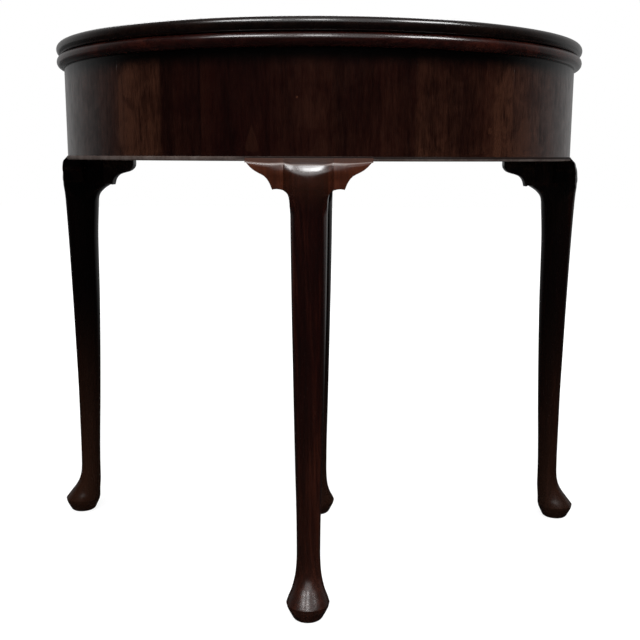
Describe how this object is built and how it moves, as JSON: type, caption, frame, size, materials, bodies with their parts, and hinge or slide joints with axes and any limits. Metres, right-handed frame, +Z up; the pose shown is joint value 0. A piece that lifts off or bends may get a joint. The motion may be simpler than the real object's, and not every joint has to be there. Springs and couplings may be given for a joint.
{
  "type": "folding card table",
  "caption": "Half-round card table with a fold-over flap, a curved veneered apron, slender club legs with pad feet and a rear leg that swings out on a wooden hinge to carry the flap.",
  "frame": {"origin": "on the floor, under the centre of the closed table's bounding box", "axes": "+X along the straight back edge to the right of a person at the curved front, +Y towards the straight back, +Z up"},
  "size_m": [0.82, 0.4144, 0.726],
  "materials": {
    "mahogany": "polished, very dark red-brown",
    "veneer": "polished upright-grain veneer",
    "oak": "dark, dry, unpolished",
    "pine": "aged, unpolished",
    "baize": "matt woollen cloth",
    "brass": "dulled",
    "steel": "dulled",
    "iron": "dark, slightly rusted"
  },
  "bodies": {
    "frame": {"fixed_leaf": "mahogany", "fixed_leaf_baize": "baize", "left_hinge_fixed_plate": "brass", "left_hinge_pin": "steel", "right_hinge_fixed_plate": "brass", "right_hinge_pin": "steel", "fixed_plate_screws": "brass", "bottom_brick_course": "pine", "middle_brick_course": "pine", "top_brick_course": "pine", "veneer_sheet_1": "veneer", "veneer_sheet_2": "veneer", "veneer_sheet_3": "veneer", "veneer_sheet_4": "veneer", "veneer_sheet_5": "veneer", "veneer_sheet_6": "veneer", "left_apron_bead": "mahogany", "right_apron_bead": "mahogany", "front_leg": "mahogany", "right_leg": "mahogany", "left_leg": "mahogany", "front_leg_right_bracket": "mahogany", "front_leg_left_bracket": "mahogany", "right_leg_front_bracket": "mahogany", "left_leg_front_bracket": "mahogany", "left_leg_back_bracket": "mahogany", "right_leg_back_bracket": "mahogany", "knuckle_rail": "oak", "stop_rail": "oak", "inner_back_rail": "oak", "medial_rail": "pine", "rail_spacers": "pine", "glue_blocks": "pine", "gate_hinge_pin": "iron", "top_screws": "iron", "rail_screws": "iron"},
    "flap": {"flap_leaf": "mahogany", "flap_baize": "baize", "left_hinge_flap_plate": "brass", "right_hinge_flap_plate": "brass", "flap_plate_screws": "brass"},
    "gate": {"gate_leg": "mahogany", "gate_bracket": "mahogany", "fly_rail": "oak", "gate_pegs": "oak"}
  },
  "joints": [
    {"name": "flap_hinge", "type": "hinge", "parent": "frame", "child": "flap", "pos_m": [0, 0.20425, 0.709], "axis": [-1, 0, 0], "range_deg": [0, 180]},
    {"name": "gate_swing", "type": "hinge", "parent": "frame", "child": "gate", "pos_m": [0.23, 0.15225, 0.6], "axis": [0, 0, -1], "range_deg": [0, 90]}
  ]
}
